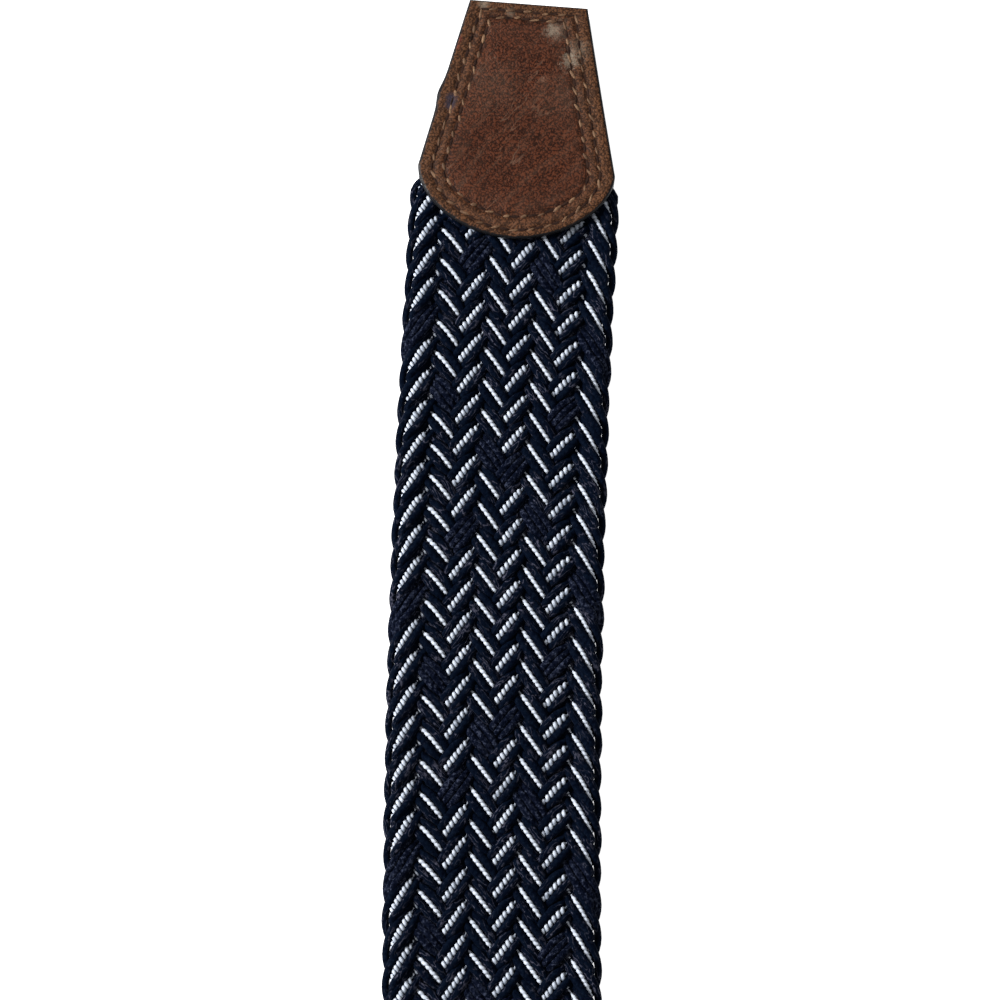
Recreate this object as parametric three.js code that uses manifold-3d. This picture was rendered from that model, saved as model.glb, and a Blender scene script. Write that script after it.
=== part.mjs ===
// A braided elastic belt, laid out straight with its face up: a flat braid of cords between a stitched
// leather tip and a leather buckle end with a keeper loop and a plain pin buckle.
// Millimetres. +X runs across the belt, +Y along it towards the tip, +Z up. The belt rests on Z = 0.
import * as THREE from 'three';
import { mergeVertices } from 'three/addons/utils/BufferGeometryUtils.js';
import Module from 'manifold-3d';

// Whole belt, from the buckle's far side to the tip
const overallLength = 1000;

// Braided strap
const strapWidth = 35;
const strapThick = 2.6;
const rowPitch = 5.15; // one strand turns at each edge once a row
const scallopDepth = 0.5; // how far the edge dips between two turning strands
const edgeRound = 1.1; // the strap's long edges, worn round
const pressedThick = 1.8; // the braid where leather is sewn over it
const trimInset = 0.8; // the braid's cut edge lies this far inside the leather's
const shoulderLength = 2.4; // along which the braid spreads from its cut width to its full width
const settleLength = 18; // along which the strap comes down from the leather to the surface

// The way the strap lies: its tip end leans to +X in one long gentle arc
const leanReach = 154;
const leanRadius = 1920;

// Leather of both ends
const leatherThick = 1.3;
const leatherBevel = 0.25;
const tabWidth = 32.8;
const roundDepth = 11.6; // depth of the half ellipse that ends each piece of leather on the strap
const tipLength = 41;
const tipEndWidth = 19.7;
const buckleLeatherLength = 62; // from the buckle's bar to the end of the leather
const foldSlope = 9; // along which the upper leaf comes down from the bar to the strap
const braidFromBar = 26; // the braid's cut end, measured from the buckle's bar

// Pin buckle
const wireRadius = 2;
const frameLength = 38;
const frameWidth = 47;
const frameCorner = 4.5; // corner radius at the middle of the wire
const prongRadius = 1.3;
const prongOverhang = 1.2; // how far the prong's end passes the middle of the far bar

// Keeper loop
const keeperLength = 10; // along the belt
const keeperFromBar = 11;
const keeperRoom = 6; // height left over the leather for the tip to pass
const keeperSideRoom = 0.75; // room beside the strap, on each side
const keeperCorner = 2;

// Clearances
const seamGap = 0.3; // between pieces that are sewn or lie on each other
const prongRoom = 0.5; // round the prong, in its slot in the fold

// Fineness of the round forms
const ellipseSteps = 12;
const foldSteps = 12;
const cornerSteps = 6;
const wireSides = 10;
const prongSides = 8;

const wasm = await Module();
wasm.setup();

// Places that follow from the sizes
const leanAtTip = leanReach / leanRadius;
const tipY = overallLength / 2 - (tipEndWidth / 2) * Math.sin(leanAtTip);
const farBarY = -overallLength / 2 + wireRadius;
const barY = farBarY + frameLength - 2 * wireRadius;
const foldInner = wireRadius + seamGap;
const foldOuter = foldInner + leatherThick;
const barZ = foldOuter;
const braidBottomInLeather = leatherThick + seamGap;
const upperLeafBottom = braidBottomInLeather + pressedThick + seamGap;
const leatherTop = upperLeafBottom + leatherThick;
const leatherEndY = barY + buckleLeatherLength;
const braidEndY = barY + braidFromBar;

// A point of the strap: across it, along it from the tip's edge, and up, on the leaning arc.
function strapPoint(across, along, up) {
  const reach = Math.max(0, leanReach - along);
  const angle = reach / leanRadius;
  const shift = (reach * reach) / (2 * leanRadius);
  return new THREE.Vector3(shift + across * Math.cos(angle), tipY - along - across * Math.sin(angle), up);
}

// A closed body through rings of equally many points: quads between rings, a fan over each end.
function skin(rings, joined = false) {
  const points = rings.flat();
  const count = rings[0].length;
  const faces = [];
  const spans = joined ? rings.length : rings.length - 1;
  for (let r = 0; r < spans; r++) {
    const here = r * count;
    const next = ((r + 1) % rings.length) * count;
    for (let k = 0; k < count; k++) {
      const after = (k + 1) % count;
      faces.push(here + k, here + after, next + after, here + k, next + after, next + k);
    }
  }
  if (!joined) {
    for (let k = 1; k < count - 1; k++) {
      const last = (rings.length - 1) * count;
      faces.push(0, k + 1, k, last, last + k, last + k + 1);
    }
  }
  const geometry = new THREE.BufferGeometry().setFromPoints(points);
  geometry.setIndex(faces);
  return facingOut(geometry);
}

// Turns the faces round if they enclose a negative volume.
function facingOut(geometry) {
  const at = geometry.attributes.position;
  const index = geometry.index.array;
  const [a, b, c] = [new THREE.Vector3(), new THREE.Vector3(), new THREE.Vector3()];
  let volume = 0;
  for (let i = 0; i < index.length; i += 3) {
    a.fromBufferAttribute(at, index[i]);
    b.fromBufferAttribute(at, index[i + 1]);
    c.fromBufferAttribute(at, index[i + 2]);
    volume += a.dot(b.cross(c));
  }
  if (volume < 0) {
    for (let i = 0; i < index.length; i += 3) {
      [index[i + 1], index[i + 2]] = [index[i + 2], index[i + 1]];
    }
  }
  geometry.computeVertexNormals();
  return geometry;
}

function toSolid(geometry) {
  const bare = geometry.index ? geometry.toNonIndexed() : geometry.clone();
  bare.deleteAttribute('normal');
  bare.deleteAttribute('uv');
  const merged = mergeVertices(bare, 1e-4);
  return new wasm.Manifold(new wasm.Mesh({
    numProp: 3,
    vertProperties: merged.attributes.position.array,
    triVerts: new Uint32Array(merged.index.array),
  }));
}

function toGeometry(solid) {
  const mesh = solid.getMesh();
  const geometry = new THREE.BufferGeometry();
  geometry.setAttribute('position', new THREE.BufferAttribute(new Float32Array(mesh.vertProperties), 3));
  geometry.setIndex(new THREE.BufferAttribute(new Uint32Array(mesh.triVerts), 1));
  geometry.computeVertexNormals();
  return geometry;
}

// A box between two corners.
function boxBetween(low, high) {
  const size = high.map((value, k) => value - low[k]);
  const geometry = new THREE.BoxGeometry(...size);
  return geometry.translate(...low.map((value, k) => value + size[k] / 2));
}

// A flat shape drawn in X and Z, made a body from one Y to another.
function alongY(shape, fromY, toY) {
  const geometry = new THREE.ExtrudeGeometry(shape, { depth: toY - fromY, bevelEnabled: false });
  return geometry.rotateX(Math.PI / 2).translate(0, toY, 0);
}

// Half width and distance from the strap's end, along the leather's half ellipse, from its side to its middle.
function roundedEnd(straightLength) {
  const points = [];
  for (let k = 0; k <= ellipseSteps; k++) {
    const turn = (k / ellipseSteps) * (Math.PI / 2);
    points.push([(tabWidth / 2) * Math.cos(turn), straightLength + roundDepth * Math.sin(turn)]);
  }
  return points;
}

// Outline of the tip's leather, across and along: a flaring side, then the half ellipse, and the mirror of both.
function tipOutline() {
  const half = [[tipEndWidth / 2, 0], ...roundedEnd(tipLength - roundDepth)];
  const other = half.slice(0, -1).reverse().map(([across, along]) => [-across, along]);
  return [...half, ...other];
}

function tipLeather(bottom, bevel) {
  const outline = tipOutline().map(([across, along]) => {
    const at = strapPoint(across, along, 0);
    return new THREE.Vector2(at.x, at.y);
  });
  const geometry = new THREE.ExtrudeGeometry(new THREE.Shape(outline), {
    depth: leatherThick - 2 * bevel,
    bevelEnabled: bevel > 0,
    bevelThickness: bevel,
    bevelSize: bevel,
    bevelOffset: -bevel,
    bevelSegments: 1,
  });
  return geometry.translate(0, 0, bottom + bevel);
}

// Cross-section of the strap at one place along it: six points, with blunt edges.
function strapSection({ along, left, right, thick, bottom }) {
  const round = Math.min(edgeRound, thick / 2);
  const top = bottom + thick;
  const middle = bottom + thick / 2;
  return [
    strapPoint(-left + round, along, top),
    strapPoint(right - round, along, top),
    strapPoint(right, along, middle),
    strapPoint(right - round, along, bottom),
    strapPoint(-left + round, along, bottom),
    strapPoint(-left, along, middle),
  ];
}

// Thickness and height of the strap: pressed between the leathers, resting on the surface away from them.
function strapLie(along) {
  const fromLeather = Math.min(along - tipLength, tipY - leatherEndY - along);
  const share = THREE.MathUtils.smoothstep(fromLeather, -2, settleLength);
  return {
    thick: THREE.MathUtils.lerp(pressedThick, strapThick, share),
    bottom: THREE.MathUtils.lerp(braidBottomInLeather, 0, share),
  };
}

function braidedStrap() {
  const flareEnd = tipLength - roundDepth;
  const tipHalf = (along) => THREE.MathUtils.lerp(tipEndWidth, tabWidth, along / flareEnd) / 2 - trimInset;
  const cutHalf = tabWidth / 2 - trimInset;
  const first = flareEnd + shoulderLength;
  const last = tipY - leatherEndY + roundDepth - shoulderLength;
  const halfRows = Math.round((last - first) / (rowPitch / 2));
  const stations = [trimInset, flareEnd].map((along) => ({ along, left: tipHalf(along), right: tipHalf(along) }));
  for (let k = 0; k <= halfRows; k++) {
    // the two edges dip half a row apart, because the strands are odd in number
    const dips = k % 2 ? [0, scallopDepth] : [scallopDepth, 0];
    stations.push({
      along: first + ((last - first) * k) / halfRows,
      left: strapWidth / 2 - dips[0],
      right: strapWidth / 2 - dips[1],
    });
  }
  for (const along of [last + shoulderLength, tipY - braidEndY]) {
    stations.push({ along, left: cutHalf, right: cutHalf });
  }
  return skin(stations.map((station) => strapSection({ ...station, ...strapLie(station.along) })));
}

// Middle line of the folded leather in Y and Z: under the strap, round the bar, and down onto the strap.
function foldLine() {
  const line = [[leatherEndY, leatherThick / 2]];
  const middle = foldInner + leatherThick / 2;
  for (let k = 0; k <= foldSteps; k++) {
    const turn = -Math.PI / 2 - (k / foldSteps) * Math.PI;
    line.push([barY + middle * Math.cos(turn), barZ + middle * Math.sin(turn)]);
  }
  const high = barZ + middle;
  const low = upperLeafBottom + leatherThick / 2;
  for (const share of [0.25, 0.5, 0.75, 1]) {
    line.push([barY + foldSlope * share, THREE.MathUtils.lerp(high, low, THREE.MathUtils.smoothstep(share, 0, 1))]);
  }
  line.push([leatherEndY, low]);
  return line;
}

// Outline of a strip of even thickness about a line in a plane.
function stripShape(line, thick) {
  const sides = [[], []];
  line.forEach(([a, b], k) => {
    const [before, after] = [line[Math.max(0, k - 1)], line[Math.min(line.length - 1, k + 1)]];
    const run = Math.hypot(after[0] - before[0], after[1] - before[1]);
    const normal = [-(after[1] - before[1]) / run, (after[0] - before[0]) / run];
    sides[0].push(new THREE.Vector2(a + (normal[0] * thick) / 2, b + (normal[1] * thick) / 2));
    sides[1].push(new THREE.Vector2(a - (normal[0] * thick) / 2, b - (normal[1] * thick) / 2));
  });
  return new THREE.Shape([...sides[0], ...sides[1].reverse()]);
}

function buckleLeather() {
  // the strip's side view, drawn in Y and Z, made a body across the belt
  const strip = new THREE.ExtrudeGeometry(stripShape(foldLine(), leatherThick), {
    depth: strapWidth,
    bevelEnabled: false,
  });
  const turned = new THREE.Matrix4().set(0, 0, 1, -strapWidth / 2, 1, 0, 0, 0, 0, 1, 0, 0, 0, 0, 0, 1);
  strip.applyMatrix4(turned);
  const half = roundedEnd(0).map(([across, along]) => [across, leatherEndY - roundDepth + along]);
  const foldEnd = barY - foldOuter - seamGap;
  const plan = [[tabWidth / 2, foldEnd], ...half];
  const outline = [...plan, ...plan.slice(0, -1).reverse().map(([x, y]) => [-x, y])];
  const cutter = new THREE.ExtrudeGeometry(new THREE.Shape(outline.map(([x, y]) => new THREE.Vector2(x, y))), {
    depth: 2 * foldOuter + 2 * seamGap,
    bevelEnabled: false,
  });
  cutter.translate(0, 0, -seamGap);
  const slotHalf = prongRadius + prongRoom;
  const slot = boxBetween(
    [-slotHalf, foldEnd, barZ - slotHalf],
    [slotHalf, barY + foldInner, barZ + foldOuter + seamGap],
  );
  return toGeometry(toSolid(strip).intersect(toSolid(cutter)).subtract(toSolid(slot)));
}

// Points and headings round a rectangle with round corners, in X and Y.
function roundedRectangle(width, length, corner) {
  const round = [];
  const centres = [[1, 1], [-1, 1], [-1, -1], [1, -1]];
  centres.forEach(([sx, sy], quarter) => {
    for (let k = 0; k <= cornerSteps; k++) {
      const turn = (quarter + k / cornerSteps) * (Math.PI / 2);
      round.push({
        x: sx * (width / 2 - corner) + corner * Math.cos(turn),
        y: sy * (length / 2 - corner) + corner * Math.sin(turn),
        turn,
      });
    }
  });
  return round;
}

function pinBuckle() {
  const middleY = (barY + farBarY) / 2;
  const path = roundedRectangle(frameWidth - 2 * wireRadius, barY - farBarY, frameCorner);
  const circle = (count, radius) => Array.from({ length: count }, (_, k) => {
    const turn = (k / count) * 2 * Math.PI;
    return [radius * Math.cos(turn), radius * Math.sin(turn)];
  });
  const frame = skin(path.map(({ x, y, turn }) => circle(wireSides, wireRadius).map(([out, up]) => (
    new THREE.Vector3(x + out * Math.cos(turn), middleY + y + out * Math.sin(turn), barZ + up)
  ))), true);
  // the prong leaves the bar, rises over the window and rests on the far bar
  const restZ = barZ + wireRadius + prongRadius * 0.7;
  const prong = skin([
    { y: barY, z: barZ, size: 1 },
    { y: barY - foldOuter, z: barZ + wireRadius / 2, size: 1 },
    { y: THREE.MathUtils.lerp(barY, farBarY, 0.7), z: restZ, size: 0.95 },
    { y: farBarY - prongOverhang, z: restZ, size: 0.7 },
  ].map(({ y, z, size }) => circle(prongSides, prongRadius * size).map(([across, up]) => (
    new THREE.Vector3(across, y, z + up)
  ))));
  return toGeometry(toSolid(frame).add(toSolid(prong)));
}

// A rectangle with round corners in X and Z, as a path that a shape or a hole can take.
function cornered(target, left, right, low, high, corner) {
  target.moveTo(left + corner, low);
  target.lineTo(right - corner, low);
  target.absarc(right - corner, low + corner, corner, -Math.PI / 2, 0, false);
  target.lineTo(right, high - corner);
  target.absarc(right - corner, high - corner, corner, 0, Math.PI / 2, false);
  target.lineTo(left + corner, high);
  target.absarc(left + corner, high - corner, corner, Math.PI / 2, Math.PI, false);
  target.lineTo(left, low + corner);
  target.absarc(left + corner, low + corner, corner, Math.PI, Math.PI * 1.5, false);
  return target;
}

// The loop's lower run lies between the two leaves of the buckle leather, and its upper run clears them.
function keeperLoop() {
  const inside = strapWidth / 2 + keeperSideRoom;
  const outside = inside + leatherThick;
  const low = braidBottomInLeather;
  const high = leatherTop + keeperRoom;
  const shape = cornered(new THREE.Shape(), -outside, outside, low, high + leatherThick, keeperCorner);
  const innerCorner = Math.max(0.2, keeperCorner - leatherThick);
  shape.holes.push(cornered(new THREE.Path(), -inside, inside, low + leatherThick, high, innerCorner));
  const fromY = barY + keeperFromBar;
  return alongY(shape, fromY, fromY + keeperLength);
}

const finish = {
  braid: { color: 0x10182a, roughness: 0.85, metalness: 0 },
  leather: { color: 0x5a3a28, roughness: 0.6, metalness: 0 },
  backLeather: { color: 0x2b211c, roughness: 0.7, metalness: 0 },
  metal: { color: 0x8d8a84, roughness: 0.35, metalness: 1 },
};

function piece(name, geometry, look) {
  const mesh = new THREE.Mesh(geometry, new THREE.MeshStandardMaterial(look));
  mesh.name = name;
  return mesh;
}

const belt = new THREE.Group();
belt.add(
  piece('braided_strap', braidedStrap(), finish.braid),
  piece('tip_leather_front', tipLeather(upperLeafBottom, leatherBevel), finish.leather),
  piece('tip_leather_back', tipLeather(0, 0), finish.backLeather),
  piece('buckle_leather', buckleLeather(), finish.leather),
  piece('keeper_loop', keeperLoop(), finish.leather),
  piece('pin_buckle', pinBuckle(), finish.metal),
);

export default belt;
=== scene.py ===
import math
import random
import bmesh
import bpy
from mathutils import Matrix, Vector, noise


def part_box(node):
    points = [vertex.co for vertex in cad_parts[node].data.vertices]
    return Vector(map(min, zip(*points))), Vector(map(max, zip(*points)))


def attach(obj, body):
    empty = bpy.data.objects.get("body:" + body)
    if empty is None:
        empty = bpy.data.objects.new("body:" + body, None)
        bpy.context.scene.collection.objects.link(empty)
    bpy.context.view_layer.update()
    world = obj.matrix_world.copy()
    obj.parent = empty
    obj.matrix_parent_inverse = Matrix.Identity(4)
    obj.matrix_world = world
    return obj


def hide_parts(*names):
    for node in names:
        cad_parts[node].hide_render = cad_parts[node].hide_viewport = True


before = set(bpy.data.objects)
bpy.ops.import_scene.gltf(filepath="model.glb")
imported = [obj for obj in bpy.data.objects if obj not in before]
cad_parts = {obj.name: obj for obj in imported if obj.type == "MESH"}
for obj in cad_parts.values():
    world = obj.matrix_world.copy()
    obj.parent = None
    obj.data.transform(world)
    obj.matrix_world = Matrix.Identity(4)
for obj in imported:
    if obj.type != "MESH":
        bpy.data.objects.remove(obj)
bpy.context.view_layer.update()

mm = 0.001

# Places in metres. +X runs across the belt, +Y along it towards the tip, +Z up from the surface.
belt = {
    "leanReach": 154 * mm,  # the tip end leans to +X over this length
    "leanRadius": 1920 * mm,
    "strapThick": 2.6 * mm,
    "pressedThick": 1.8 * mm,
    "leatherThick": 1.3 * mm,
    "seamGap": 0.3 * mm,
    "settleLength": 18 * mm,  # along which the strap comes down from the leather
    "settleUnder": 2 * mm,  # and this far under it
    "tabHalf": 16.4 * mm,
    "tipEndHalf": 9.85 * mm,
    "tipLength": 41 * mm,
    "roundDepth": 11.6 * mm,
    "roundFullness": 1.85,  # 2 is an ellipse, less is leaner
}
leanAtTip = belt["leanReach"] / belt["leanRadius"]
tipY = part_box("tip_leather_front")[1].y - belt["tipEndHalf"] * math.sin(leanAtTip)
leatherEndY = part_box("buckle_leather")[1].y
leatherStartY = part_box("buckle_leather")[0].y
pressedBottom = belt["leatherThick"] + belt["seamGap"]
frontBottom = pressedBottom + belt["pressedThick"] + belt["seamGap"]
leatherTop = frontBottom + belt["leatherThick"]
print("belt places read from the frame")


def strapPoint(across, along, up):
    # across the strap, along it from the tip's edge, and up, on the leaning arc
    reach = max(0.0, belt["leanReach"] - along)
    angle = reach / belt["leanRadius"]
    shift = reach * reach / (2 * belt["leanRadius"])
    return Vector((shift + across * math.cos(angle), tipY - along - across * math.sin(angle), up))


def smoothStep(low, high, value):
    share = min(1.0, max(0.0, (value - low) / (high - low)))
    return share * share * (3 - 2 * share)


def mix(low, high, share):
    return low + (high - low) * share


def newObject(name, data):
    thing = bpy.data.objects.new(name, data)
    bpy.context.collection.objects.link(thing)
    return thing


# Camera
camera = {
    "target": (1.3 * mm, 414.7 * mm, 2.5 * mm),
    "elevation": 80.5,
    "distance": 398 * mm,
    "lens": 87.8,
}


def makeCamera():
    data = bpy.data.cameras.new("photoCamera")
    data.lens = camera["lens"]
    data.sensor_width = 36
    data.clip_start = 0.01
    tilt = math.radians(camera["elevation"])
    away = Vector((0, -math.cos(tilt), math.sin(tilt)))
    thing = newObject("photoCamera", data)
    thing.location = Vector(camera["target"]) + away * camera["distance"]
    thing.rotation_euler = (math.radians(90 - camera["elevation"]), 0, 0)
    bpy.context.scene.camera = thing


# Studio
studio = {
    "worldStrength": 0.27,
    "keyPower": 19.0,
    "keySize": 0.30,
    "keyPlace": (-0.74, 0.56, 0.52),
    "fillPower": 2.0,
    "fillSize": 0.9,
    "fillPlace": (0.5, 0.0, 0.9),
    "floorTone": (0.60, 0.60, 0.60),
    "floorGlow": 0.88,  # a light table: it keeps the belt's shadow faint
    "floorReach": 6.0,
    "floorDrop": 0.05 * mm,
    "wallHeight": 2.2,  # a low white wall round the floor, so that side views end in white as well
}


def makeLight(name, place, target, size, power):
    data = bpy.data.lights.new(name, "AREA")
    data.shape = "SQUARE"
    data.size = size
    data.energy = power
    thing = newObject(name, data)
    thing.location = place
    thing.rotation_euler = (Vector(target) - Vector(place)).to_track_quat("-Z", "Y").to_euler()


def addStage(work, name, material):
    mesh = bpy.data.meshes.new(name)
    work.to_mesh(mesh)
    work.free()
    mesh.materials.append(material)
    thing = newObject(name, mesh)
    return thing


def glowMaterial(name, tone, glow):
    material = bpy.data.materials.new(name)
    material.use_nodes = True
    shader = material.node_tree.nodes["Principled BSDF"]
    shader.inputs["Base Color"].default_value = (*tone, 1)
    shader.inputs["Roughness"].default_value = 0.9
    shader.inputs["Emission Color"].default_value = (1, 1, 1, 1)
    shader.inputs["Emission Strength"].default_value = glow
    return material


def makeStudio():
    world = bpy.data.worlds.new("studioWorld")
    world.use_nodes = True
    sky = world.node_tree.nodes["Background"].inputs
    sky["Color"].default_value = (1, 1, 1, 1)
    sky["Strength"].default_value = studio["worldStrength"]
    bpy.context.scene.world = world
    bpy.context.scene.view_settings.view_transform = "Standard"
    makeLight("key", studio["keyPlace"], camera["target"], studio["keySize"], studio["keyPower"])
    makeLight("fill", studio["fillPlace"], camera["target"], studio["fillSize"], studio["fillPower"])
    sheet = bmesh.new()
    bmesh.ops.create_grid(sheet, x_segments=1, y_segments=1, size=studio["floorReach"])
    floor = addStage(sheet, "floor", glowMaterial("floorPaper", studio["floorTone"], studio["floorGlow"]))
    floor.location.z = -studio["floorDrop"]
    ring, radius = bmesh.new(), studio["floorReach"] * 0.98
    bmesh.ops.create_cone(ring, cap_ends=False, segments=64, radius1=radius, radius2=radius,
                          depth=2 * studio["wallHeight"])
    addStage(ring, "wall", glowMaterial("wallPaper", (0, 0, 0), 1.0))


makeCamera()
makeStudio()
print("camera, light and floor made")


# Shader helpers
def addNode(tree, kind, inputs=None, **settings):
    node = tree.nodes.new(kind)
    for name, value in settings.items():
        setattr(node, name, value)
    for name, value in (inputs or {}).items():
        if isinstance(value, bpy.types.NodeSocket):
            tree.links.new(value, node.inputs[name])
        else:
            node.inputs[name].default_value = value
    return node


def doMath(tree, operation, first, second=0.5, clamp=False):
    return addNode(tree, "ShaderNodeMath", {0: first, 1: second}, operation=operation, use_clamp=clamp).outputs[0]


def plus(tree, first, second, clamp=False):
    return doMath(tree, "ADD", first, second, clamp)


def minus(tree, first, second):
    return doMath(tree, "SUBTRACT", first, second)


def times(tree, first, second):
    return doMath(tree, "MULTIPLY", first, second)


def offMiddle(tree, value):
    # how far a noise is from its middle value, so that a thin line runs where this is near 0
    return doMath(tree, "ABSOLUTE", minus(tree, value, 0.5))


def rampOf(tree, value, low, high, first=0.0, last=1.0):
    node = addNode(tree, "ShaderNodeMapRange", {"Value": value, "From Min": low, "From Max": high,
                                                "To Min": first, "To Max": last})
    return node.outputs["Result"]


def mixColor(tree, share, first, second, blend="MIX"):
    # the mix node's colour sockets have no names of their own: 0, 6 and 7 go in, 2 comes out
    inputs = {0: share, 6: first, 7: second}
    return addNode(tree, "ShaderNodeMix", inputs, data_type="RGBA", blend_type=blend).outputs[2]


def meshValue(tree, name):
    return addNode(tree, "ShaderNodeAttribute", attribute_name=name).outputs


def newGroup(name, inputs, outputs):
    tree = bpy.data.node_groups.new(name, "ShaderNodeTree")
    for label, kind, value in inputs:
        socket = tree.interface.new_socket(label, in_out="INPUT", socket_type="NodeSocket" + kind)
        socket.default_value = value
    for label, kind in outputs:
        tree.interface.new_socket(label, in_out="OUTPUT", socket_type="NodeSocket" + kind)
    return tree, tree.nodes.new("NodeGroupInput").outputs, tree.nodes.new("NodeGroupOutput").inputs


def fillGroup(tree, group, inputs):
    return addNode(tree, "ShaderNodeGroup", inputs, node_tree=group).outputs


def objectPlace(tree):
    return addNode(tree, "ShaderNodeTexCoord").outputs["Object"]


def noiseOf(tree, scale, detail=3.0, roughness=0.55, place=None):
    inputs = {"Vector": place or objectPlace(tree), "Scale": scale, "Detail": detail, "Roughness": roughness}
    return addNode(tree, "ShaderNodeTexNoise", inputs).outputs["Fac"]


def makeGrainGroup():
    # wormy fine leather grain with pores
    tree, given, made = newGroup("leatherGrain", [("Grain Size", "Float", 0.5 * mm)],
                                 [("Height", "Float"), ("Tone", "Float")])
    place = objectPlace(tree)
    scale = doMath(tree, "DIVIDE", 1.0, given["Grain Size"])
    worms = noiseOf(tree, scale, 2.0, 0.5, place)
    ridged = rampOf(tree, offMiddle(tree, worms), 0.0, 0.16)
    fine = noiseOf(tree, times(tree, scale, 1.7), 4.0, 0.75, place)
    pores = addNode(tree, "ShaderNodeTexVoronoi", {"Vector": place, "Scale": times(tree, scale, 0.7)})
    pore = rampOf(tree, pores.outputs["Distance"], 0.05, 0.22)
    height = plus(tree, times(tree, ridged, 0.45), times(tree, fine, 0.8))
    tree.links.new(times(tree, height, pore), made["Height"])
    tone = plus(tree, times(tree, ridged, 0.30), times(tree, fine, 0.75))
    tree.links.new(tone, made["Tone"])
    return tree


def makeSpotGroup():
    # a ragged spot round one place
    tree, given, made = newGroup("raggedSpot", [("Centre", "Vector", (0, 0, 0)), ("Reach", "Float", 2 * mm),
                                                ("Ragged", "Float", 0.5)], [("Mask", "Float")])
    place = objectPlace(tree)
    away = addNode(tree, "ShaderNodeVectorMath", {0: place, 1: given["Centre"]}, operation="DISTANCE")
    share = doMath(tree, "DIVIDE", away.outputs["Value"], given["Reach"])
    ragged = minus(tree, noiseOf(tree, 1700.0, 5.0, 0.85, place), 0.5)
    ragged = times(tree, ragged, given["Ragged"])
    shaken = plus(tree, share, times(tree, ragged, 2.4))
    tree.links.new(rampOf(tree, shaken, 1.0, 0.2, 0.0, 1.0), made["Mask"])
    return tree


def makeYarnGroup():
    # plies that climb round a cord, read from its UV map: metres along it, and one turn round it; also thin broken
    # lines along it for painted highlights
    tree, given, made = newGroup("twistedYarn", [("Ply Spacing", "Float", 1 * mm), ("Plies", "Float", 3.0),
                                                 ("Start", "Float", 0.0), ("Wobble", "Float", 2.0)],
                                 [("Ply", "Float"), ("Fibres", "Float"), ("Highlight Lines", "Float")])
    flat = addNode(tree, "ShaderNodeSeparateXYZ", {0: addNode(tree, "ShaderNodeUVMap").outputs["UV"]}).outputs
    climb = doMath(tree, "DIVIDE", flat["X"], given["Ply Spacing"])
    around = times(tree, flat["Y"], given["Plies"])
    turn = minus(tree, minus(tree, climb, around), given["Start"])
    wobble = times(tree, minus(tree, noiseOf(tree, 700.0, 2.0), 0.5), given["Wobble"])
    wave = doMath(tree, "COSINE", plus(tree, times(tree, turn, 2 * math.pi), wobble))
    tree.links.new(rampOf(tree, wave, -0.75, 0.95), made["Ply"])
    tree.links.new(noiseOf(tree, 1700.0, 3.0, 0.75), made["Fibres"])
    # painted highlight: thin broken light lines drawn along the cord
    drawn = addNode(tree, "ShaderNodeCombineXYZ", {"X": times(tree, flat["X"], 420.0),
                                                   "Y": times(tree, flat["Y"], 5.0)}).outputs[0]
    highlightLines = offMiddle(tree, noiseOf(tree, 1.0, 1.0, 0.5, drawn))
    broken = rampOf(tree, noiseOf(tree, 330.0, 2.0, 0.6), 0.45, 0.60)
    tree.links.new(times(tree, rampOf(tree, highlightLines, 0.035, 0.01), broken), made["Highlight Lines"])
    return tree


grainGroup = makeGrainGroup()
spotGroup = makeSpotGroup()
yarnGroup = makeYarnGroup()


def newMaterial(name, roughness, specular=0.5, metallic=0.0):
    material = bpy.data.materials.new(name)
    material.use_nodes = True
    shader = material.node_tree.nodes["Principled BSDF"]
    shader.inputs["Roughness"].default_value = roughness
    shader.inputs["Specular IOR Level"].default_value = specular
    shader.inputs["Metallic"].default_value = metallic
    return material, material.node_tree, shader.inputs


def bumpInto(tree, sockets, height, distance, strength=1.0, under=None):
    inputs = {"Height": height, "Distance": distance, "Strength": strength}
    if under:
        inputs["Normal"] = under
    bump = addNode(tree, "ShaderNodeBump", inputs)
    if sockets is not None:
        tree.links.new(bump.outputs["Normal"], sockets["Normal"])
    return bump.outputs["Normal"]
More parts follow.
